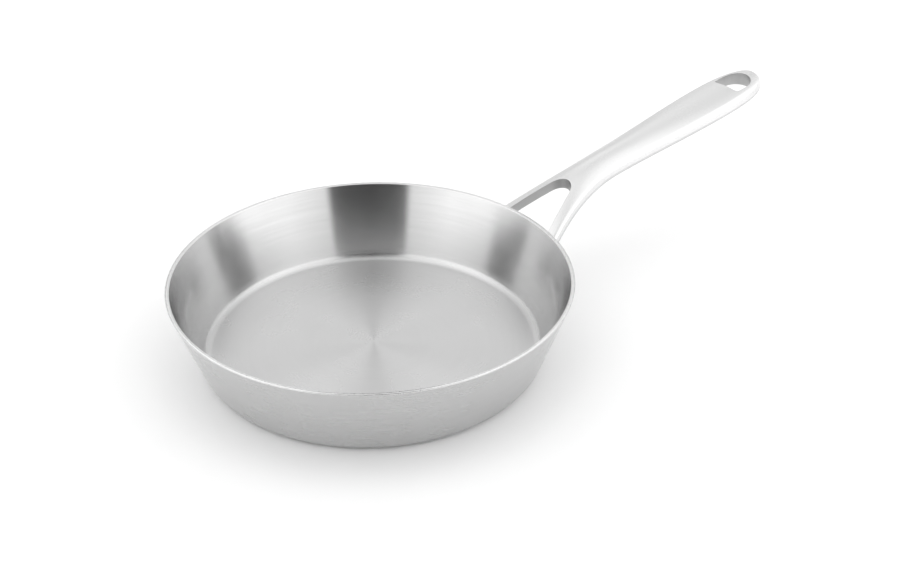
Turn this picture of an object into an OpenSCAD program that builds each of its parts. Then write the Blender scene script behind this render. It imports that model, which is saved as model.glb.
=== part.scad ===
// Omelette pan: a flared pan pressed from five-ply sheet, with a cast fork handle welded to its wall.
// The base stands on Z = 0, centred on the Z axis, and the handle points along +X.

/* [Pan] */
// Diameter across the outside of the rim
rim_d = 240; // [210:1:290]
// Height of the pan from its base to its rim
pan_h = 50; // [42:0.5:62]
// Lean of the wall away from upright, in degrees
flare = 19.4; // [14:0.1:24]
// Outer radius of the bend between the base and the wall
foot_r = 7.5; // [6:0.5:12]
// Rounding of the rim's two edges
rim_round = 0.2; // [0.1:0.05:0.3]

/* [Sheet] */
// Stainless steel ply that the food touches
cooking_t = 0.4; // [0.35:0.05:0.7]
// Pure aluminium ply on each side of the core
bond_t = 0.2; // [0.15:0.05:0.4]
// Aluminium alloy core
core_t = 1.1; // [0.8:0.05:1.6]
// Magnetic stainless steel ply on the outside
outer_t = 0.4; // [0.35:0.05:0.7]

/* [Handle line] */
// Distance of the handle's tip beyond the rim
reach = 206.5; // [190:0.5:230]
// Depth below the rim at which the crown line of the legs meets the wall
foot_drop = 2.5; // [1:0.5:4]
// Slope of the two legs, in degrees
leg_slope = 32.5; // [27:0.5:37]
// Slope of the grip, in degrees
grip_slope = 9.6; // [6:0.1:14]
// Distance beyond the rim of the elbow between legs and grip
elbow_out = 33.5; // [30:0.5:37]
// Length along X of the curve that joins the two slopes
elbow_length = 71; // [50:1:76]
// Extra rise of the grip at its tip
tip_lift = 1.3; // [0:0.1:4]

/* [Handle width] */
// Width across the outer sides of the two legs where they reach the wall
foot_spread = 58.5; // [54:0.5:64]
// Angle at which each leg's outer side closes in on the neck, in degrees
leg_toe = 23.5; // [18:0.5:25]
// Width of the neck, the narrowest place
neck_w = 27; // [23:0.5:30]
// Distance of the neck beyond the rim
neck_out = 61.5; // [56:0.5:72]
// Width of the grip where its end starts to round off
grip_w = 35.5; // [30:0.5:40]
// Length along X of the rounded end
end_length = 46; // [40:1:55]
// Fullness of the rounded end's outline: 2 is an ellipse
end_fullness = 2.6; // [2:0.1:3]

/* [Handle section] */
// Height of the section at the fork, from its lower edge to its crown
fork_depth = 10; // [9:0.5:12]
// Height of the section at the hanging hole
end_depth = 8.8; // [8:0.1:10]
// Drop from the crown to the shoulders at the fork
fork_crown = 3.4; // [2:0.1:4]
// Drop from the crown to the shoulders at the hanging hole
end_crown = 1.1; // [0.5:0.1:2]
// Thickness on the centre line at the fork
fork_web = 7; // [6:0.5:9]
// Thickness on the centre line at the hanging hole
end_web = 9.8; // [8.5:0.1:10.5]
// Radius of the shoulders
shoulder_r = 3.2; // [2:0.1:4]
// Lean of the sides away from upright, in degrees
side_draft = 12; // [6:1:16]
// Rounding under the lower edge
lower_r = 1; // [0.5:0.1:1.5]
// Length of the round-over at the tip
nose_length = 5; // [3:0.5:7]

/* [Fork opening] */
// Gap between the two legs where they reach the wall
fork_gap = 41.3; // [37:0.1:45]
// Distance beyond the rim of the opening's round end
crotch_out = 33.2; // [30:0.1:36]
// Radius of the opening's round end
crotch_r = 9.2; // [7:0.1:10]

/* [Hanging hole] */
// Metal left between the hole's round side and the handle's tip
tip_band = 9.3; // [8:0.1:12]
// Length of the hole along the handle
hole_l = 20.2; // [18:0.1:21]
// Width of the hole, twice the radius of its round side
hole_w = 21.5; // [16:0.5:23]
// Radius of the two corners of its flat side
hole_corner_r = 2.2; // [1:0.1:4]

/* [Welds] */
// Radius of the weld bead round each foot
weld_r = 1.5; // [1:0.1:2]
// Fitting gap between a foot and the wall, bridged by the weld
weld_gap = 0.05; // [0.03:0.01:0.1]

/* [Hidden] */
$fn = 144;

// Depths of the ply boundaries below the outer surface
lower_bond_d = outer_t;
core_d = lower_bond_d + bond_t;
upper_bond_d = core_d + core_t;
cooking_d = upper_bond_d + bond_t;
sheet_t = cooking_d + cooking_t;

// Radius of the surface that lies depth d inside the outer one, at height z
function wall_r(z, d = 0) = rim_d / 2 - (pan_h - z) * tan(flare) - d / cos(flare);

rim_r = rim_d / 2;
bend_x = wall_r(foot_r, foot_r);
rim_edge = min(rim_round, 0.6 * min(cooking_t, outer_t));
above = 1;

// Stations along the handle, as distances from the pan's axis
leg_y = (foot_spread + fork_gap) / 4;
foot_x = sqrt(rim_r * rim_r - leg_y * leg_y);
elbow_x = rim_r + elbow_out;
neck_x = rim_r + neck_out;
tip_x = rim_r + reach;
end_x = tip_x - end_length;
hole_x = tip_x - tip_band - hole_l;
crotch_x = rim_r + crotch_out;
root_length = 14;
start_x = foot_x - root_length;

// Tangent of the opening's straight sides to its round end
crotch_cx = crotch_x - crotch_r;
gap_run = crotch_cx - foot_x;
gap_angle = atan(fork_gap / 2 / gap_run) - asin(crotch_r / sqrt(gap_run * gap_run + fork_gap * fork_gap / 4));

function gap_y(x) = crotch_r * cos(gap_angle) + (crotch_cx + crotch_r * sin(gap_angle) - x) * tan(gap_angle);

function mix(a, b, t) = a + (b - a) * t;
function clamp(t) = min(max(t, 0), 1);
function smooth(t) = t * t * (3 - 2 * t);
function hermite(t, a, b, da, db) =
    (2 * t ^ 3 - 3 * t ^ 2 + 1) * a + (t ^ 3 - 2 * t ^ 2 + t) * da
    + (3 * t ^ 2 - 2 * t ^ 3) * b + (t ^ 3 - t ^ 2) * db;

// Value at x of something that changes from the fork to the hanging hole
function along(x, fork, end) = mix(fork, end, smooth(clamp((x - crotch_x) / (hole_x - crotch_x))));

// Height of the crown line above the rim: two straight slopes joined by a parabola, and the lift of the tip
function leg_line(x) = tan(leg_slope) * (x - foot_x) - foot_drop;
function rise(x) =
    let (start = elbow_x - elbow_length / 2, turn = tan(leg_slope) - tan(grip_slope))
    let (into = min(max(x - start, 0), elbow_length), past = max(x - start - elbow_length, 0))
    leg_line(x) - turn * (into * into / 2 / elbow_length + past)
    + tip_lift * clamp((x - neck_x) / (tip_x - neck_x)) ^ 2;

// Half of the handle's width: closing legs, narrow neck, wider grip and rounded end
function half_w(x) =
    x < foot_x ? foot_spread / 2 - tan(leg_toe) * (x - foot_x)
    : x < neck_x ? hermite((x - foot_x) / (neck_x - foot_x), foot_spread / 2, neck_w / 2,
                           -tan(leg_toe) * (neck_x - foot_x), 0)
    : x < end_x ? mix(neck_w, grip_w, smooth((x - neck_x) / (end_x - neck_x))) / 2
    : grip_w / 2 * (1 - ((x - end_x) / end_length) ^ end_fullness) ^ (1 / end_fullness);

// Share of the full height that is left by the round-over at the tip
function nose(x) = sqrt(1 - clamp((x - tip_x + nose_length) / nose_length) ^ 2);

// Heights in the section at x, measured from its lower edge
function depth(x) = along(x, fork_depth, end_depth) * nose(x);
function crown(x) = along(x, fork_crown, end_crown) * nose(x);
function web(x) = along(x, fork_web, end_web) * nose(x);
function base_z(x) = pan_h + rise(x) - along(x, fork_depth, end_depth);

crown_steps = 5;
shoulder_steps = 7;
lower_steps = 3;
belly_steps = 5;

// Half of the section from the middle of the crown, over the shoulder and lower edge, to the middle of the
// underside, as [y, z] from the lower edge's level
function half_section(w, h, c, t) =
    let (sr = min(shoulder_r, w / 2, h / 3), lr = min(lower_r, w / 4, h / 6))
    let (start = atan(2 * c / (w - h * tan(side_draft))), cz = h - c - sr * cos(start))
    let (cy = max(w - cz * tan(side_draft) - sr / cos(side_draft), 0), top_y = cy + sr * sin(start))
    concat(
        [for (i = [0:crown_steps - 1]) let (k = i / crown_steps) [top_y * k, h - c * k * k]],
        [for (i = [0:shoulder_steps]) let (a = mix(start, 90 - side_draft, i / shoulder_steps))
            [cy + sr * sin(a), cz + sr * cos(a)]],
        [for (i = [0:lower_steps]) let (a = 90 * i / lower_steps) [w - lr + lr * cos(a), -lr * sin(a)]],
        [for (i = [1:belly_steps]) let (k = 1 - i / belly_steps)
            [(w - lr) * k, mix(-lr, h - t, 1 - k * k)]]);

// Closed ring of points round the handle at x
function ring(x) =
    let (half = half_section(half_w(x), depth(x), crown(x), web(x)), last = len(half) - 1)
    let (z = base_z(x))
    concat(
        [for (p = half) [x, p[0], z + p[1]]],
        [for (i = [last - 1:-1:1]) [x, -half[i][0], z + half[i][1]]]);

// Sections along the handle: even along the legs, elbow and grip, and closer together towards the tip
leg_steps = 5;
elbow_steps = 16;
grip_steps = 12;
end_steps = 18;
last_turn = 88.5;
curve_start = elbow_x - elbow_length / 2;
curve_end = elbow_x + elbow_length / 2;
stations = concat(
    [for (i = [0:leg_steps - 1]) mix(start_x, curve_start, i / leg_steps)],
    [for (i = [0:elbow_steps - 1]) mix(curve_start, curve_end, i / elbow_steps)],
    [for (i = [0:grip_steps - 1]) mix(curve_end, end_x, i / grip_steps)],
    [for (i = [0:end_steps]) end_x + end_length * sin(last_turn * i / end_steps) ^ (2 / end_fullness)]);

// Skin through rings of equally many points, closed at both ends
module loft(rings) {
    n = len(rings[0]);
    last = len(rings) - 1;
    sides = [for (i = [0:last - 1], j = [0:n - 1])
        let (a = i * n + j, b = i * n + (j + 1) % n)
        each [[a, b, b + n], [a, b + n, a + n]]];
    ends = [[for (j = [n - 1:-1:0]) j], [for (j = [0:n - 1]) last * n + j]];
    polyhedron([for (r = rings, p = r) p], concat(sides, ends));
}

// Skin through rings that follow a closed path
module loop(rings) {
    n = len(rings[0]);
    m = len(rings);
    sides = [for (i = [0:m - 1], j = [0:n - 1])
        let (a = i * n + j, b = i * n + (j + 1) % n, c = (i + 1) % m * n + j, d = (i + 1) % m * n + (j + 1) % n)
        each [[a, b, d], [a, d, c]]];
    polyhedron([for (r = rings, p = r) p], sides);
}

// Half profile of everything inside depth d below the outer surface, up to the height top
module pan_profile(d, top) {
    bend = foot_r - d;
    polygon([[0, d], [bend_x, d], [bend_x + bend * cos(flare), foot_r - bend * sin(flare)],
             [wall_r(top, d), top], [0, top]]);
    translate([bend_x, foot_r]) circle(r = bend);
}

// What the rounding takes off a corner of the rim at radius x; out is 1 for the outer and -1 for the inner edge
module rim_corner(x, out) {
    run = rim_edge / tan((90 - out * flare) / 2);
    centre = [x - out * run, pan_h - rim_edge];
    foot = [x, pan_h] - run * [sin(flare), cos(flare)];
    difference() {
        polygon([centre, [centre[0], pan_h + rim_edge], [x + out * rim_edge, pan_h + rim_edge],
                 foot + out * rim_edge * [cos(flare), -sin(flare)]]);
        translate(centre) circle(r = rim_edge);
    }
}

// One ply of the sheet, between two depths below the outer surface
module ply(outside, inside) {
    rotate_extrude() difference() {
        pan_profile(outside, pan_h);
        pan_profile(inside, pan_h + above);
        rim_corner(rim_r, 1);
        rim_corner(wall_r(pan_h, sheet_t), -1);
    }
}

module outer_ply() color([0.72, 0.72, 0.73]) ply(0, lower_bond_d);
module lower_bond_ply() color([0.86, 0.87, 0.88]) ply(lower_bond_d, core_d);
module core_ply() color([0.8, 0.81, 0.83]) ply(core_d, upper_bond_d);
module upper_bond_ply() color([0.86, 0.87, 0.88]) ply(upper_bond_d, cooking_d);
module cooking_ply() color([0.78, 0.78, 0.79]) ply(cooking_d, sheet_t);

// Everything that the pan's outer surface holds, grown by a gap
module pan_solid(gap) rotate_extrude() pan_profile(-gap, pan_h + above);

module handle_blank() loft([for (x = stations) ring(x)]);

module fork_opening() {
    meet_x = crotch_cx + crotch_r * sin(gap_angle);
    linear_extrude(height = pan_h + rise(neck_x)) {
        polygon([[start_x, gap_y(start_x)], [meet_x, gap_y(meet_x)],
                 [meet_x, -gap_y(meet_x)], [start_x, -gap_y(start_x)]]);
        translate([crotch_cx, 0]) circle(r = crotch_r);
    }
}

// Outline of the hanging hole, with its flat side on x = 0
module hole_outline() {
    r = hole_w / 2;
    side = r - hole_corner_r;
    translate([hole_l - r, 0]) circle(r = r);
    translate([hole_corner_r, -r]) square([hole_l - r - hole_corner_r, hole_w]);
    translate([0, -side]) square([hole_l - r, 2 * side]);
    for (y = [-side, side]) translate([hole_corner_r, y]) circle(r = hole_corner_r);
}

module hanging_hole() {
    translate([hole_x, 0, pan_h + rise(hole_x)]) rotate([0, -grip_slope, 0])
        translate([0, 0, -2 * end_web]) linear_extrude(height = 3 * end_web) hole_outline();
}

module handle() {
    color([0.82, 0.82, 0.83]) difference() {
        handle_blank();
        fork_opening();
        hanging_hole();
        pan_solid(weld_gap);
    }
}

// Corners of the left leg's outline at x: inner corner, crown, shoulder, lower edge, underside and inner side
function leg_outline(x) =
    let (half = half_section(half_w(x), depth(x), crown(x), web(x)), inner = gap_y(x))
    let (edge = crown_steps + shoulder_steps + 1, corners = [for (i = [crown_steps:edge + lower_steps]) half[i]])
    let (over = [for (i = [0:edge - 1]) half[i]], under = [for (i = [len(half) - 1:-1:edge]) half[i]])
    let (over_y = (inner + corners[0][0]) / 2, under_y = (inner + corners[len(corners) - 1][0]) / 2)
    let (top = lookup(inner, over), bottom = lookup(inner, under))
    [for (p = concat([[inner, top], [over_y, lookup(over_y, over)]], corners,
                     [[under_y, lookup(under_y, under)], [inner, bottom], [inner, (top + bottom) / 2]]))
        [x, p[0], base_z(x) + p[1]]];

// Place where the line along the leg through corner k meets the wall, found by stepping x on to the wall
function on_wall(k, x, steps = 5) =
    let (p = leg_outline(x)[k])
    steps == 0 ? p : on_wall(k, sqrt(wall_r(p[2]) ^ 2 - p[1] ^ 2), steps - 1);

function unit(v) = v / norm(v);

// Bead in the corner between leg and wall: a round slice swept along the line where they meet
slice_steps = 3;
function bead_slice(k, path) =
    let (n = len(path), p = path[k], turn = atan2(p[1], p[0]))
    let (off_wall = [cos(flare) * cos(turn), cos(flare) * sin(turn), -sin(flare)])
    let (on_sheet = unit(cross(off_wall, path[(k + 1) % n] - path[(k + n - 1) % n])))
    let (on_leg = unit(leg_outline(p[0] + 1)[k] - leg_outline(p[0])[k]))
    let (off_leg = unit(on_sheet - (on_sheet * on_leg) * on_leg), root = p + weld_gap * (off_wall + off_leg))
    concat([root], [for (i = [0:slice_steps]) root + weld_r * unit(mix(on_leg, on_sheet, i / slice_steps))]);

module left_weld() {
    path = [for (k = [0:len(leg_outline(foot_x)) - 1]) on_wall(k, foot_x)];
    color([0.6, 0.6, 0.62]) loop([for (k = [0:len(path) - 1]) bead_slice(k, path)]);
}

module right_weld() mirror([0, 1, 0]) left_weld();

cooking_ply();
upper_bond_ply();
core_ply();
lower_bond_ply();
outer_ply();
handle();
left_weld();
right_weld();
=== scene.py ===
from math import asin, atan, cos, degrees, pi, radians, sin, sqrt, tan

import bmesh
import bpy
from mathutils import Matrix, Vector


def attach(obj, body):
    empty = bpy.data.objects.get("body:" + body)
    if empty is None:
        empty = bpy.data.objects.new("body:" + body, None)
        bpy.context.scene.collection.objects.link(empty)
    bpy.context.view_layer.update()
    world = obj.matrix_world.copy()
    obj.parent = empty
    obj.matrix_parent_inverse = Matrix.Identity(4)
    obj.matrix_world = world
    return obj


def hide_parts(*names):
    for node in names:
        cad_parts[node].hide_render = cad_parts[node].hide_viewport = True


# Omelette pan: a flared pan of five-ply sheet with a welded, forked handle, in a white studio.
# Everything is in metres, with the pan standing on z = 0 and the handle pointing along +x.

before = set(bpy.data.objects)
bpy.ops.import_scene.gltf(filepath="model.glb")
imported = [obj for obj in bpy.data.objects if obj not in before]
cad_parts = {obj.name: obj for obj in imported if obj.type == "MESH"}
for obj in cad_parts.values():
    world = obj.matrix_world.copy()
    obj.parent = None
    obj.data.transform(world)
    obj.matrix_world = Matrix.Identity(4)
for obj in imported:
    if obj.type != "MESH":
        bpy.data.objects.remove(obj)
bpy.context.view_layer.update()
print("frame loaded:", len(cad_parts), "nodes")

mm = 0.001
noiseLow, noiseHigh = 0.3, 0.7  # between these lie nearly all of a noise's values
reliefDepth = 0.02 * mm
nearby = 0.01 * mm  # points this close are in one place
hair = 0.001 * mm
mergeDistance = 0.004 * mm


def mix(a, b, t):
    return a + (b - a) * t


def clamp(t, low=0.0, high=1.0):
    return min(max(t, low), high)


def smoothStep(t):
    return t * t * (3 - 2 * t)


def finishPiece(name, mesh, materials, nodes):
    # a new piece: smooth, with its materials, riding on the pan's one body in place of the CAD nodes
    piece = bpy.data.objects.new(name, mesh)
    bpy.context.scene.collection.objects.link(piece)
    for material in materials:
        mesh.materials.append(material)
    mesh.polygons.foreach_set("use_smooth", [True] * len(mesh.polygons))
    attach(piece, "root")
    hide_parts(*nodes)
    return piece


def smoothWith(piece, levels):
    subdivision = piece.modifiers.new("smooth", "SUBSURF")
    subdivision.levels = levels
    subdivision.render_levels = levels


# Materials

def newMaterial(name, baseColor, metallic=1.0, roughness=0.3, anisotropy=0.0, turn=0.0):
    material = bpy.data.materials.new(name)
    material.use_nodes = True
    shader = material.node_tree.nodes["Principled BSDF"]
    shader.inputs["Base Color"].default_value = (*baseColor, 1)
    shader.inputs["Metallic"].default_value = metallic
    shader.inputs["Roughness"].default_value = roughness
    shader.inputs["Anisotropic"].default_value = anisotropy
    shader.inputs["Anisotropic Rotation"].default_value = turn
    return material, shader


class NodeMaker:
    # short calls for the few kinds of node that the finishes use

    def __init__(self, tree):
        self.tree = tree

    def make(self, kind, links=None, values=None, **settings):
        made = self.tree.nodes.new(kind)
        for key, value in settings.items():
            setattr(made, key, value)
        for key, value in (values or {}).items():
            made.inputs[key].default_value = value
        for key, source in (links or {}).items():
            self.tree.links.new(source, made.inputs[key])
        return made

    def math(self, operation, a, b=0.0):
        made = self.make("ShaderNodeMath", operation=operation)
        for place, value in enumerate((a, b)):
            if isinstance(value, (int, float)):
                made.inputs[place].default_value = value
            else:
                self.tree.links.new(value, made.inputs[place])
        return made.outputs[0]

    def vector(self, operation, a, b=None, scale=None):
        made = self.make("ShaderNodeVectorMath", operation=operation)
        for place, value in enumerate((a, b)):
            if isinstance(value, tuple):
                made.inputs[place].default_value = value
            elif value is not None:
                self.tree.links.new(value, made.inputs[place])
        if scale is not None:
            made.inputs["Scale"].default_value = scale
        return made.outputs[0]

    def noise(self, coordinates, scale=1.0, detail=3.0, roughness=0.6):
        values = {"Scale": scale, "Detail": detail, "Roughness": roughness}
        made = self.make("ShaderNodeTexNoise", {"Vector": coordinates}, values)
        return made.outputs["Fac"]

    def range(self, value, low, high, start=0.0, end=1.0):
        # carries a value that runs from low to high over to start to end
        values = {"From Min": low, "From Max": high, "To Min": start, "To Max": end}
        made = self.make("ShaderNodeMapRange", {"Value": value}, values, clamp=True)
        return made.outputs["Result"]

    def spread(self, noise, start=0.0, end=1.0):
        return self.range(noise, noiseLow, noiseHigh, start, end)

    def blend(self, share, a, b):
        # changes over from a to b, which are numbers or node values
        made = self.make("ShaderNodeMix", {"Factor": share}, data_type="FLOAT")
        for name, value in (("A", a), ("B", b)):
            if isinstance(value, (int, float)):
                made.inputs[name].default_value = value
            else:
                self.tree.links.new(value, made.inputs[name])
        return made.outputs["Result"]

    def curve(self, angle, stops):
        # brightness over half a turn, from pairs of degrees and brightness
        made = self.make("ShaderNodeValToRGB", {"Fac": self.math("DIVIDE", angle, pi)})
        top = max(level for place, level in stops)
        elements = made.color_ramp.elements
        for place, level in stops[1:-1]:
            elements.new(place / 180)
        for element, (place, level) in zip(elements, stops):
            element.position = place / 180
            element.color = (level / top, level / top, level / top, 1)
        return self.math("MULTIPLY", made.outputs["Color"], top)

    def tint(self, share, dark, light):
        made = self.make("ShaderNodeMix", {"Factor": share}, data_type="RGBA")
        made.inputs["A"].default_value = (*dark, 1)
        made.inputs["B"].default_value = (*light, 1)
        return made.outputs["Result"]


def shade(color, factor):
    return tuple(clamp(part * factor) for part in color)


quarterTurn = 0.25  # turns the stretched highlights across the brushing
broadening = (0.6, 0.6, 0.12)  # scale of the broad lines against the fine ones, along and across
bendHeights = (3 * mm, 9 * mm)  # between these the floor's finish turns into the wall's


def ringBrushed(name, finish):
    # steel brushed round the pan's axis: lines that run in circles, each fading along its way
    color, contrast = finish["color"], finish["contrast"]
    floorRoughness, wallRoughness = finish["roughness"]
    material, shader = newMaterial(name, color, 1.0, wallRoughness, finish["anisotropy"], quarterTurn)
    tree = material.node_tree
    nodes = NodeMaker(tree)
    place = nodes.make("ShaderNodeTexCoord").outputs["Object"]
    flat = nodes.vector("MULTIPLY", place, (1, 1, 0))
    outward = nodes.vector("NORMALIZE", flat)
    along = nodes.vector("SCALE", outward, scale=1 / finish["lineTurn"])
    height = nodes.make("ShaderNodeSeparateXYZ", {"Vector": place}).outputs["Z"]
    length = nodes.make("ShaderNodeVectorMath", {0: flat}, operation="LENGTH").outputs["Value"]
    across = nodes.math("MULTIPLY", nodes.math("ADD", length, height), 1 / finish["lineWidth"])
    raised = nodes.make("ShaderNodeCombineXYZ", {"Z": across})
    lines = nodes.vector("ADD", along, raised.outputs[0])
    fine = nodes.noise(lines, 1.0, 4.0, 0.7)
    broad = nodes.noise(nodes.vector("MULTIPLY", lines, broadening), 1.0, 2.0, 0.5)
    cloud = nodes.noise(place, 28.0, 3.0, 0.5)
    streak = nodes.math("ADD", nodes.math("MULTIPLY", fine, 0.65), nodes.math("MULTIPLY", broad, 0.35))
    clear = nodes.range(height, *bendHeights, finish["floorLines"], 1)
    streak = nodes.blend(clear, 0.5, streak)
    tinted = nodes.tint(nodes.spread(streak), shade(color, 1 - contrast), shade(color, 1 + contrast))
    tree.links.new(tinted, shader.inputs["Base Color"])
    dull = nodes.spread(streak, 0.012, -0.012)
    dull = nodes.math("ADD", dull, nodes.spread(cloud, -0.015, 0.015))
    dull = nodes.math("ADD", dull, nodes.range(height, *bendHeights, floorRoughness, wallRoughness))
    tree.links.new(dull, shader.inputs["Roughness"])
    tangent = nodes.vector("CROSS_PRODUCT", (0, 0, 1), outward)
    tree.links.new(tangent, shader.inputs["Tangent"])
    values = {"Strength": finish["bump"], "Distance": reliefDepth}
    relief = nodes.make("ShaderNodeBump", {"Height": nodes.math("MULTIPLY", fine, clear)}, values)
    tree.links.new(relief.outputs["Normal"], shader.inputs["Normal"])
    return material


def groundMetal(name, color, roughness):
    # ground metal: soft reflections with faint hairlines and a little unevenness
    material, shader = newMaterial(name, color, 1.0, roughness)
    tree = material.node_tree
    nodes = NodeMaker(tree)
    place = nodes.make("ShaderNodeTexCoord").outputs["Object"]
    hairlines = nodes.noise(nodes.vector("MULTIPLY", place, (900, 900, 2600)), 1.0, 3.0, 0.7)
    cloud = nodes.noise(place, 60.0, 2.0, 0.5)
    tinted = nodes.tint(nodes.spread(cloud), shade(color, 0.97), shade(color, 1.02))
    tree.links.new(tinted, shader.inputs["Base Color"])
    dull = nodes.spread(hairlines, roughness * 0.8, roughness * 1.3)
    tree.links.new(dull, shader.inputs["Roughness"])
    return material


def castSatin(name, color, roughness, anisotropy, relief=0.12):
    # cast steel rubbed to a satin, with faint lines along the handle and a fine grain
    material, shader = newMaterial(name, color, 1.0, roughness, anisotropy, quarterTurn)
    tree = material.node_tree
    nodes = NodeMaker(tree)
    place = nodes.make("ShaderNodeTexCoord").outputs["Object"]
    lines = nodes.noise(nodes.vector("MULTIPLY", place, (60, 2600, 2600)), 1.0, 3.0, 0.7)
    grain = nodes.noise(place, 2200.0, 2.0, 0.6)
    cloud = nodes.noise(place, 45.0, 3.0, 0.5)
    texture = nodes.math("ADD", nodes.math("MULTIPLY", lines, 0.6), nodes.math("MULTIPLY", grain, 0.4))
    tinted = nodes.tint(nodes.spread(texture), shade(color, 0.96), shade(color, 1.03))
    tree.links.new(tinted, shader.inputs["Base Color"])
    dull = nodes.spread(texture, roughness - 0.03, roughness + 0.03)
    dull = nodes.math("ADD", dull, nodes.spread(cloud, -0.02, 0.02))
    tree.links.new(dull, shader.inputs["Roughness"])
    shader.inputs["Tangent"].default_value = (1, 0, 0)
    values = {"Strength": relief, "Distance": reliefDepth}
    bumps = nodes.make("ShaderNodeBump", {"Height": texture}, values)
    tree.links.new(bumps.outputs["Normal"], shader.inputs["Normal"])
    return material


insideFinish = {
    "color": (0.65, 0.65, 0.65),
    "roughness": (0.28, 0.17),  # on the floor and on the wall
    "anisotropy": 1.0,
    "lineWidth": 0.4 * mm,
    "lineTurn": 0.35,  # radians that a line runs before it fades
    "floorLines": 0.3,  # how clear the lines are on the floor, against the wall
    "contrast": 0.05,
    "bump": 0.12,
}
outsideFinish = {
    "color": (0.60, 0.60, 0.60),
    "roughness": (0.28, 0.28),
    "anisotropy": 0.9,
    "lineWidth": 0.45 * mm,
    "lineTurn": 0.35,
    "floorLines": 1,
    "contrast": 0.03,
    "bump": 0.01,
}
insideSteel = ringBrushed("insideSteel", insideFinish)
outsideSteel = ringBrushed("outsideSteel", outsideFinish)
rimSteel = groundMetal("rimSteel", (0.82, 0.82, 0.82), 0.26)
bondMetal = groundMetal("bondMetal", (0.85, 0.85, 0.85), 0.28)
coreMetal = groundMetal("coreMetal", (0.84, 0.84, 0.84), 0.28)
handleSteel = castSatin("handleSteel", (0.76, 0.76, 0.76), 0.26, 0.3)
# rougher steel for the walls of the fork and the eye, darker in colour than the outer skin
innerSteel = castSatin("innerSteel", (0.48, 0.48, 0.48), 0.45, 0.0, 0.35)
# the handle's steel, a little rougher and painted darker as shade, for the lower edge and the underside
underShadeSteel = castSatin("underShadeSteel", (0.62, 0.62, 0.62), 0.32, 0.3)
weldSteel = castSatin("weldSteel", (0.70, 0.70, 0.70), 0.30, 0.0)
print("materials made")


# Pan

sheet = {
    "rimRadius": 120 * mm,  # outside of the rim
    "height": 50 * mm,
    "flare": radians(19.4),  # lean of the wall away from upright
    "bendRadius": 7.5 * mm,  # outside of the bend between floor and wall
    "rimRounding": 0.2 * mm,
    "rimFaces": 0.24 * mm,  # faces this close to the top have the ground rim's finish
    "turnSteps": 288,
    "bendSteps": 16,
}

plies = [
    # from outside in: name, node, thickness, materials of the faces and of the rim's edge, slot
    ("outerSteel", "outer_ply", 0.4 * mm, (outsideSteel, rimSteel), "outer_steel"),
    ("lowerBond", "lower_bond_ply", 0.2 * mm, (bondMetal, bondMetal), "bond_aluminium"),
    ("coreSheet", "core_ply", 1.1 * mm, (coreMetal, coreMetal), "core_aluminium"),
    ("upperBond", "upper_bond_ply", 0.2 * mm, (bondMetal, bondMetal), "bond_aluminium"),
    ("cookingSteel", "cooking_ply", 0.4 * mm, (insideSteel, rimSteel), "cooking_steel"),
]


def wallRadius(z, depth=0.0):
    # radius of the surface that lies that depth inside the pan's outer one
    flare = sheet["flare"]
    return sheet["rimRadius"] - (sheet["height"] - z) * tan(flare) - depth / cos(flare)


def surfaceLine(depth):
    # half profile of one ply boundary as (radius, height), from the axis to the rim
    bend = sheet["bendRadius"]
    bendX = wallRadius(bend, bend)
    floor = [(bendX * share, depth) for share in (0, 0.2, 0.5, 0.8, 0.97)]
    turn = pi / 2 - sheet["flare"]
    arc = []
    for step in range(sheet["bendSteps"] + 1):
        angle = turn * step / sheet["bendSteps"]
        arc.append((bendX + (bend - depth) * sin(angle), bend - (bend - depth) * cos(angle)))
    start = arc[-1][1]
    wall = []
    for share in (0.03, 0.35, 0.7, 0.97, 1):
        z = mix(start, sheet["height"], share)
        wall.append((wallRadius(z, depth), z))
    return floor + arc + wall


def makePly(name, node, outside, inside, materials):
    bm = bmesh.new()
    outline = surfaceLine(outside) + surfaceLine(inside)[::-1]
    corners = [bm.verts.new((radius, 0, z)) for radius, z in outline]
    edges = [bm.edges.new(pair) for pair in zip(corners, corners[1:])]
    bmesh.ops.spin(bm, geom=corners + edges, axis=(0, 0, 1), cent=(0, 0, 0), dvec=(0, 0, 0), angle=2 * pi,
                   steps=sheet["turnSteps"], use_merge=True)
    bmesh.ops.remove_doubles(bm, verts=bm.verts, dist=hair)
    bmesh.ops.recalc_face_normals(bm, faces=bm.faces)
    roundRim(bm, node)
    top = sheet["height"] - sheet["rimFaces"]
    for face in bm.faces:
        face.material_index = int(face.calc_center_median().z > top)
    mesh = bpy.data.meshes.new(name)
    bm.to_mesh(mesh)
    bm.free()
    piece = finishPiece(name, mesh, materials, [node])
    piece.modifiers.new("even", "WEIGHTED_NORMAL").keep_sharp = True


def roundRim(bm, node):
    # only the outermost and innermost edges of the rim are rounded
    inside = wallRadius(sheet["height"], sheetThickness)
    radii = {"outer_ply": sheet["rimRadius"], "cooking_ply": inside}
    if node not in radii:
        return
    rim = []
    for edge in bm.edges:
        ends = [vert.co for vert in edge.verts]
        high = all(abs(end.z - sheet["height"]) < nearby for end in ends)
        if high and all(abs(end.xy.length - radii[node]) < nearby for end in ends):
            rim.append(edge)
    bmesh.ops.bevel(bm, geom=rim, offset=sheet["rimRounding"], segments=4, profile=0.5, affect="EDGES",
                    material=-1)


sheetThickness = sum(thickness for name, node, thickness, materials, slot in plies)
depth = 0.0
for name, node, thickness, materials, slot in plies:
    makePly(name, node, depth, depth + thickness, materials)
    depth += thickness
print("sheet made:", len(plies), "plies,", round(sheetThickness / mm, 2), "mm in all")


# Handle

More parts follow.
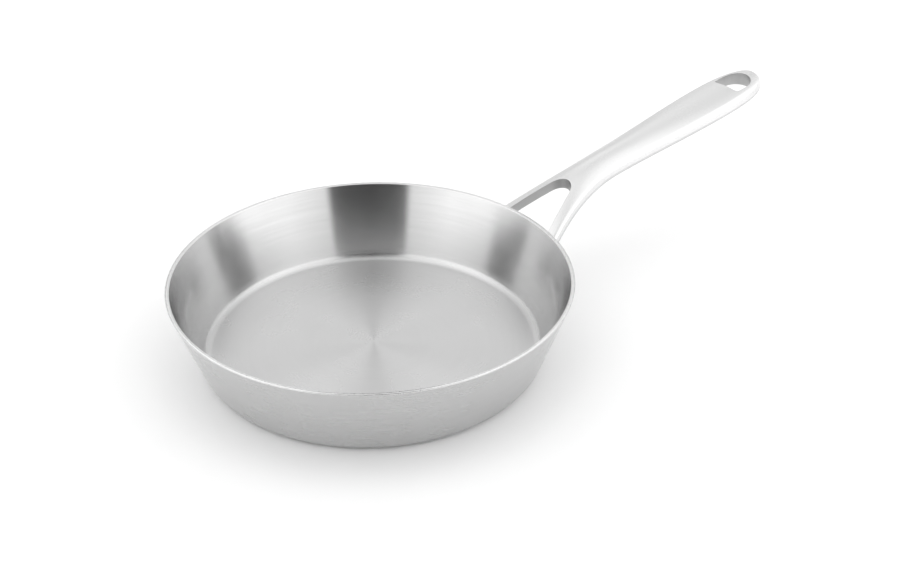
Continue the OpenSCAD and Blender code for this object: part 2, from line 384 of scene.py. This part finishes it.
handle = {
    "reach": 206.5 * mm,  # from the rim to the tip
    "footDrop": 2.5 * mm,
    "footInside": 4 * mm,  # the first row starts this far inside the rim's circle
    "footSink": 0.4 * mm,  # how far the feet go into the pan's outer surface
    "footNear": 4 * mm,
    "legSlope": radians(32.5),
    "gripSlope": radians(9.6),
    "elbowOut": 33.5 * mm,
    "elbowLength": 71 * mm,
    "tipLift": 1.3 * mm,
    "footSpread": 58.5 * mm,
    "legToe": radians(23.5),
    "neckWidth": 27 * mm,
    "neckOut": 61.5 * mm,
    "gripWidth": 35.5 * mm,
    "endLength": 46 * mm,
    "endFullness": 2.6,
    # depth, crown and web at the fork and at the eye
    "depth": (10 * mm, 8.8 * mm),
    "crown": (3.6 * mm, 1.7 * mm),
    "web": (7 * mm, 9.8 * mm),
    "shoulderRadius": 4.6 * mm,
    "sideDraft": radians(12),
    "lowerRadius": 1 * mm,
    "noseLength": 5 * mm,
    "forkGap": 41.3 * mm,
    "crotchOut": 33.2 * mm,
    "crotchRadius": 9.2 * mm,
    "tipBand": 9.3 * mm,
    "eyeLength": 20.2 * mm,
    "eyeWidth": 21.5 * mm,
    "eyeCorner": 2.2 * mm,
    "edgeRounding": 0.55 * mm,
    "sharpAngle": radians(50),  # edges with a turn above this are rounded
    "crownPoints": 8,
    # millimetres in from the outline, on the shoulder and side and then round the lower edge
    "sidePoints": (4.4, 3.6, 2.9, 2.2, 1.6, 1.17, 0.8, 0.5, 0.28, 0),
    "lowerPoints": (0.13, 0.5, 1),
    "sideShare": 0.55,  # the most of a row's length that the side points may take
    "underPoints": 7,
    "wallPoints": 4,
    "outlineReach": 60 * mm,  # the outline is looked for this far away, by so many halvings
    "halvings": 40,
    # rows of points across the grip, as shares of the way from the fork to the eye
    "gripRows": (0.015, 0.035, 0.06, 0.085, 0.115, 0.15, 0.19, 0.24, 0.3, 0.37, 0.44, 0.51, 0.58, 0.65, 0.71,
                 0.77, 0.82, 0.865, 0.9, 0.93, 0.955, 0.975, 0.99),
}

rimRadius = sheet["rimRadius"]
legMiddle = (handle["footSpread"] + handle["forkGap"]) / 4
footX = sqrt(rimRadius ** 2 - legMiddle ** 2)
elbowX = rimRadius + handle["elbowOut"]
neckX = rimRadius + handle["neckOut"]
tipX = rimRadius + handle["reach"]
endX = tipX - handle["endLength"]
eyeX = tipX - handle["tipBand"] - handle["eyeLength"]
crotchX = rimRadius + handle["crotchOut"]
crotchCentre = crotchX - handle["crotchRadius"]
gapRun = crotchCentre - footX
gapSlant = sqrt(gapRun ** 2 + handle["forkGap"] ** 2 / 4)
gapAngle = atan(handle["forkGap"] / 2 / gapRun) - asin(handle["crotchRadius"] / gapSlant)


def along(x, key):
    # a size that changes from the fork to the eye
    fork, eye = handle[key]
    return mix(fork, eye, smoothStep(clamp((x - crotchX) / (eyeX - crotchX))))


def nose(x):
    # share of the full depth, which runs out round at the tip
    return sqrt(1 - clamp((x - tipX + handle["noseLength"]) / handle["noseLength"]) ** 2)


def lowerEdge(x):
    # height of the handle's lower edge: two slopes joined by a parabola, with a little lift at the tip
    start = elbowX - handle["elbowLength"] / 2
    turn = tan(handle["legSlope"]) - tan(handle["gripSlope"])
    into = clamp(x - start, 0, handle["elbowLength"])
    past = max(x - start - handle["elbowLength"], 0)
    rise = tan(handle["legSlope"]) * (x - footX) - turn * (into ** 2 / 2 / handle["elbowLength"] + past)
    lift = handle["tipLift"] * clamp((x - neckX) / (tipX - neckX)) ** 2
    return sheet["height"] - handle["footDrop"] + rise + lift - along(x, "depth")


def halfWidth(x):
    # half the handle's width in plan, from the toed-in feet over neck and grip to the round end
    foot, neck, grip = handle["footSpread"] / 2, handle["neckWidth"] / 2, handle["gripWidth"] / 2
    toe = tan(handle["legToe"])
    if x < footX:
        return foot - toe * (x - footX)
    if x < neckX:
        run = neckX - footX
        t = (x - footX) / run
        return mix(foot, neck, smoothStep(t)) - (t ** 3 - 2 * t ** 2 + t) * toe * run
    if x < endX:
        return mix(neck, grip, smoothStep((x - neckX) / (endX - neckX)))
    fullness = handle["endFullness"]
    return grip * (1 - clamp((x - endX) / handle["endLength"]) ** fullness) ** (1 / fullness)


def topHeight(x, y):
    # height of the crown, the round shoulder and the leaning side
    w = halfWidth(x)
    h = along(x, "depth") * nose(x)
    if h < nearby or w - abs(y) < hair:
        return lowerEdge(x)
    drop = along(x, "crown") * nose(x)
    radius = min(handle["shoulderRadius"], w / 2, h / 3)
    draft = handle["sideDraft"]
    start = atan(2 * drop / (w - h * tan(draft)))
    centreZ = h - drop - radius * cos(start)
    centreY = max(w - centreZ * tan(draft) - radius / cos(draft), 0)
    crownY = centreY + radius * sin(start)
    if abs(y) <= crownY:
        z = h - drop * (y / crownY) ** 2
    elif abs(y) <= centreY + radius * cos(draft):
        z = centreZ + sqrt(radius ** 2 - (abs(y) - centreY) ** 2)
    else:
        z = (w - abs(y)) / tan(draft)
    return lowerEdge(x) + z


def underHeight(x, y):
    # height of the rounded lower edge and the arched underside
    w = halfWidth(x)
    h = along(x, "depth") * nose(x)
    radius = min(handle["lowerRadius"], w / 4, h / 6)
    inside = w - abs(y)
    if radius < hair:
        return lowerEdge(x)
    if inside < radius:
        return lowerEdge(x) - sqrt(max(radius ** 2 - (radius - inside) ** 2, 0))
    arch = h - along(x, "web") * nose(x)
    return lowerEdge(x) + mix(-radius, arch, 1 - (y / (w - radius)) ** 2)


def outlineHit(start, angle):
    # where a straight line in plan meets the handle's outline
    near, far = 0.0, handle["outlineReach"]
    for step in range(handle["halvings"]):
        middle = (near + far) / 2
        x = start.x + middle * cos(angle)
        inside = x < tipX and start.y + middle * sin(angle) < halfWidth(x)
        near, far = (middle, far) if inside else (near, middle)
    return start + near * Vector((cos(angle), sin(angle)))


def eyeWall(localX, y, height):
    # point of the eye's leaning wall on the top or on the underside
    slope = handle["gripSlope"]
    crownZ = lowerEdge(eyeX) + along(eyeX, "depth")
    x = eyeX + localX * cos(slope)
    for step in range(4):
        rise = (height(x, y) - crownZ - localX * sin(slope)) / cos(slope)
        x = eyeX + localX * cos(slope) - rise * sin(slope)
    return Vector((x, y))


def handleRows():
    # lines in plan from the middle or an opening to the outline: inner top, inner under, outline, kind
    rows = []

    def addRow(inner, angle, kind, under=None):
        rows.append((inner, under or inner, outlineHit(inner, radians(angle)), kind))

    radius = handle["crotchRadius"]
    tangent = 90 - degrees(gapAngle)
    meetX = crotchCentre + radius * sin(gapAngle)
    meetY = radius * cos(gapAngle)
    for step in range(9):
        x = mix(footX - handle["footInside"], meetX, step / 9)
        addRow(Vector((x, meetY + (meetX - x) * tan(gapAngle))), mix(92, tangent, step / 9), "fork")
    for step in range(10):
        angle = tangent * (1 - step / 9)
        spot = Vector((cos(radians(angle)), sin(radians(angle)))) * radius
        addRow(Vector((crotchCentre, 0)) + spot, mix(48, tangent, angle / tangent), "fork")
    for share in handle["gripRows"]:
        lean = mix(48, 90, smoothStep(clamp(share / 0.2))) + 40 * smoothStep(clamp((share - 0.7) / 0.3))
        addRow(Vector((mix(crotchX, eyeX, share), 0)), lean, "middle")
    for localX, y, lean in eyeOutline():
        addRow(eyeWall(localX, y, topHeight), lean, "eye", eyeWall(localX, y, underHeight))
    return rows


def eyeOutline():
    # half of the hanging eye in the grip's plane, from the flat side round to the tip's side
    radius, corner = handle["eyeWidth"] / 2, handle["eyeCorner"]
    centre = handle["eyeLength"] - radius
    points = [(0, (radius - corner) * share, mix(130, 119, share)) for share in (0, 0.25, 0.5, 0.75, 1)]
    for angle in (22.5, 45, 67.5, 90):
        spot = (corner * (1 - cos(radians(angle))), radius - corner * (1 - sin(radians(angle))))
        points.append((*spot, mix(119, 97, angle / 90)))
    points += [(mix(corner, centre, share), radius, mix(97, 90, share)) for share in (0.33, 0.67)]
    for angle in range(90, -1, -9):
        points.append((centre + radius * cos(radians(angle)), radius * sin(radians(angle)), angle))
    return points


def rowPoints(row):
    # points over the top, round the lower edge and back along the underside
    inner, under, outer, kind = row
    length = (outer - inner).length
    inward = (inner - outer) / length
    reach = handle["sidePoints"][0] * mm
    squeeze = min(1, handle["sideShare"] * length / reach)
    crownEnd = outer + inward * reach * squeeze
    count = handle["crownPoints"]
    plan = [inner.lerp(crownEnd, step / count) for step in range(count)]
    plan += [outer + inward * step * mm * squeeze for step in handle["sidePoints"]]
    points = [Vector((spot.x, spot.y, topHeight(spot.x, spot.y))) for spot in plan]
    back = (under - outer) / (under - outer).length
    plan = [outer + back * step * mm * squeeze for step in handle["lowerPoints"]]
    count = handle["underPoints"]
    plan += [plan[-1].lerp(under, (step + 1) / count) for step in range(count)]
    points += [Vector((spot.x, spot.y, underHeight(spot.x, spot.y))) for spot in plan]
    return points


def ontoWall(point, height):
    # slides a point along the handle until it lies just under the pan's outer surface
    x, y = point.x, point.y
    for step in range(6):
        z = height(x, y)
        x = sqrt((wallRadius(z) - handle["footSink"]) ** 2 - y ** 2)
    return Vector((x, y, height(x, y)))


def addGrid(bm, rows):
    # a quad sheet through rows of equally many points
    wide, high = len(rows[0]), len(rows)
    made = bmesh.ops.create_grid(bm, x_segments=wide - 1, y_segments=high - 1, size=1)["verts"]
    for place, vert in enumerate(made):
        vert.co = rows[place // wide][place % wide]
    return made


def isFoot(edge, points):
    # whether both ends lie close to the first row, which is in the pan's wall
    reach = handle["footNear"]
    return all(min((vert.co - point).length for point in points) < reach for vert in edge.verts)


def makeHandle():
    plan = handleRows()
    skin = [rowPoints(row) for row in plan]
    top = handle["crownPoints"] + len(handle["sidePoints"])
    outerFinish, openingFinish, underShade = range(3)
    feet = skin[0]
    skin[0] = [ontoWall(point, topHeight) for point in feet[:top]]
    skin[0] += [ontoWall(point, underHeight) for point in feet[top:]]
    bm = bmesh.new()
    columns = {vert: place % len(skin[0]) for place, vert in enumerate(addGrid(bm, skin))}
    for face in bm.faces:
        # faces from the lower edge round onto the underside take the darker steel: painted shade along the
        # lower edge
        under = min(columns[vert] for vert in face.verts) >= top - 2
        face.material_index = underShade if under else outerFinish
    for kind in ("fork", "eye"):
        walls = []
        for row, points in zip(plan, skin):
            if row[3] == kind:
                count = handle["wallPoints"]
                walls.append([points[0].lerp(points[-1], step / count) for step in range(count + 1)])
        before = len(bm.faces)
        addGrid(bm, walls)
        bm.faces.ensure_lookup_table()
        for face in bm.faces[before:]:
            face.material_index = openingFinish
    bmesh.ops.remove_doubles(bm, verts=bm.verts, dist=mergeDistance)
    foot = [edge for edge in bm.edges if edge.is_boundary and isFoot(edge, skin[0])]
    bmesh.ops.contextual_create(bm, geom=foot)
    bmesh.ops.mirror(bm, geom=bm.verts[:] + bm.edges[:] + bm.faces[:], axis="Y", merge_dist=nearby)
    bmesh.ops.remove_doubles(bm, verts=bm.verts, dist=mergeDistance)
    bmesh.ops.recalc_face_normals(bm, faces=bm.faces)
    crease = bm.edges.layers.float.new("crease_edge")
    sharp = []
    for edge in bm.edges:
        if len(edge.link_faces) == 2 and edge.calc_face_angle() > handle["sharpAngle"]:
            if max(len(face.verts) for face in edge.link_faces) > 4:
                edge[crease] = 1
            else:
                sharp.append(edge)
    bmesh.ops.bevel(bm, geom=sharp, offset=handle["edgeRounding"], offset_type="OFFSET", segments=2,
                    profile=0.5, affect="EDGES", material=-1, clamp_overlap=True)
    mesh = bpy.data.meshes.new("castHandle")
    bm.to_mesh(mesh)
    bm.free()
    materials = [handleSteel, innerSteel, underShadeSteel]
    piece = finishPiece("castHandle", mesh, materials, ["handle"])
    smoothWith(piece, 2)


makeHandle()
print("handle made")


# Welds

for node in ("left_weld", "right_weld"):
    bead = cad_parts[node]
    bead.data.materials.clear()
    bead.data.materials.append(weldSteel)
    merging = bead.modifiers.new("merge", "WELD")
    merging.merge_threshold = 0.005 * mm
    smoothWith(bead, 2)
print("welds dressed")


# Studio

studio = {
    "floorSize": 8.0,
    "floorDrop": 0.1 * mm,  # keeps the floor clear of the pan's base
    "floorColor": (0.93, 0.93, 0.93),
    "floorGlow": 0.10,  # makes the floor white to the camera and in the metal, away from the pan; near the pan it is left out, a painted shadow that deepens the floor's real shadow round the foot
    "paintedShadowFade": (100 * mm, 135 * mm),  # distances from the middle between which the glow comes up; inside them the floor has a painted shadow round the pan's foot, which the metal reflects as well
    "worldLevel": 1.0,
}

tent = {
    "radius": 2.5,
    "front": radians(-122.9),  # the side where the photographer stands
    # Brightness at degrees round from the front, the same on both sides and from the floor upward.
    # The low rings have the dark opening that the photographer stands in, then soft boxes at the sides.
    "rings": (
        ((0, 0.0), (22, 0.05), (26, 1.1), (50, 1.55), (90, 1.75), (120, 1.2), (150, 0.9), (180, 0.85)),
        ((0, 0.1), (19, 0.3), (26, 1.4), (75, 1.5), (100, 1.3), (130, 1.1), (150, 0.8), (180, 1.15)),
        ((0, 0.2), (20, 0.5), (40, 1.15), (75, 1.45), (105, 1.45), (135, 1.3), (155, 1.05), (180, 0.9)),
        ((0, 0.4), (30, 0.7), (60, 1.1), (90, 1.4), (130, 1.25), (180, 1.0)),
        ((0, 0.95), (180, 0.95)),
    ),
    # degrees up between which each ring turns into the next
    "heights": ((20, 30), (42, 52), (60, 66), (78, 84)),
}


def makeFloor():
    bm = bmesh.new()
    bmesh.ops.create_grid(bm, x_segments=1, y_segments=1, size=studio["floorSize"] / 2)
    bmesh.ops.translate(bm, verts=bm.verts, vec=(0, 0, -studio["floorDrop"]))
    mesh = bpy.data.meshes.new("floor")
    bm.to_mesh(mesh)
    bm.free()
    floor = bpy.data.objects.new("floor", mesh)
    bpy.context.scene.collection.objects.link(floor)
    material, shader = newMaterial("floorPaper", studio["floorColor"], 0.0, 0.9)
    shader.inputs["Specular IOR Level"].default_value = 0.0
    tree = material.node_tree
    nodes = NodeMaker(tree)
    path = nodes.make("ShaderNodeLightPath").outputs
    seen = nodes.math("MAXIMUM", path["Is Camera Ray"], path["Is Glossy Ray"])
    seen = nodes.math("MAXIMUM", seen, path["Is Transmission Ray"])
    place = nodes.make("ShaderNodeTexCoord").outputs["Object"]
    away = nodes.make("ShaderNodeVectorMath", {0: place}, operation="LENGTH").outputs["Value"]
    # the glow fades out towards the pan: a painted shadow round its foot, seen by the camera and in the
    # metal
    glow = nodes.math("MULTIPLY", seen, nodes.range(away, *studio["paintedShadowFade"], 0, studio["floorGlow"]))
    shader.inputs["Emission Color"].default_value = (1, 1, 1, 1)
    tree.links.new(glow, shader.inputs["Emission Strength"])
    mesh.materials.append(material)


def makeWorld():
    world = bpy.data.worlds.new("studio")
    world.use_nodes = True
    background = world.node_tree.nodes["Background"]
    background.inputs["Color"].default_value = (1, 1, 1, 1)
    background.inputs["Strength"].default_value = studio["worldLevel"]
    bpy.context.scene.world = world


def makeTent():
    # half dome of soft light round the pan, hidden from the camera
    bm = bmesh.new()
    bmesh.ops.create_uvsphere(bm, u_segments=48, v_segments=24, radius=tent["radius"])
    bmesh.ops.bisect_plane(bm, geom=bm.verts[:] + bm.edges[:] + bm.faces[:], plane_co=(0, 0, 0),
                           plane_no=(0, 0, 1), clear_inner=True)
    mesh = bpy.data.meshes.new("tent")
    bm.to_mesh(mesh)
    bm.free()
    dome = bpy.data.objects.new("tent", mesh)
    bpy.context.scene.collection.objects.link(dome)
    material, shader = newMaterial("tentLight", (0, 0, 0), 0.0, 1.0)
    shader.inputs["Specular IOR Level"].default_value = 0.0
    shader.inputs["Emission Color"].default_value = (1, 1, 1, 1)
    material.cycles.emission_sampling = "NONE"
    tree = material.node_tree
    nodes = NodeMaker(tree)
    place = nodes.make("ShaderNodeTexCoord").outputs["Object"]
    parts = nodes.make("ShaderNodeSeparateXYZ", {"Vector": place}).outputs
    around = nodes.math("SUBTRACT", nodes.math("ARCTAN2", parts["Y"], parts["X"]), tent["front"])
    turn = nodes.math("ARCCOSINE", nodes.math("COSINE", around))
    height = nodes.math("ARCSINE", nodes.math("DIVIDE", parts["Z"], tent["radius"]))
    level = nodes.curve(turn, tent["rings"][0])
    for (start, end), ring in zip(tent["heights"], tent["rings"][1:]):
        share = nodes.range(height, radians(start), radians(end))
        level = nodes.blend(share, level, nodes.curve(turn, ring))
    tree.links.new(level, shader.inputs["Emission Strength"])
    mesh.materials.append(material)
    dome.visible_camera = False


makeFloor()
makeWorld()
makeTent()
print("studio made")


# Camera

view = {
    "azimuth": radians(-122.9),  # where the camera stands round the pan, from +x
    "elevation": radians(30.98),
    "distance": 739.1 * mm,  # from the rim's centre
    "roll": radians(2.04),
    "rimAt": (371.5, 274.2),  # the rim's centre in the photograph, in pixels
    "frame": (900, 567),
    "lens": 50.0,
    "sensor": 36.0,
}


def makeCamera():
    data = bpy.data.cameras.new("camera")
    data.lens = view["lens"]
    data.sensor_width = view["sensor"]
    camera = bpy.data.objects.new("camera", data)
    bpy.context.scene.collection.objects.link(camera)
    target = Vector((0, 0, sheet["height"]))
    level = cos(view["elevation"])
    back = Vector((level * cos(view["azimuth"]), level * sin(view["azimuth"]), sin(view["elevation"])))
    wide, high = view["frame"]
    focal = view["lens"] / view["sensor"] * wide
    x, y = view["rimAt"]
    aim = Vector(((x - wide / 2) / focal, (high / 2 - y) / focal, -1))
    swing = Vector((0, 0, -1)).rotation_difference(aim.normalized()).to_matrix()
    looking = (-back).to_track_quat("-Z", "Y").to_matrix()
    turned = looking @ Matrix.Rotation(-view["roll"], 3, "Z") @ swing.transposed()
    camera.matrix_world = Matrix.Translation(target + back * view["distance"]) @ turned.to_4x4()
    bpy.context.scene.camera = camera


makeCamera()
bpy.context.scene.view_settings.view_transform = "Standard"
print("camera set")
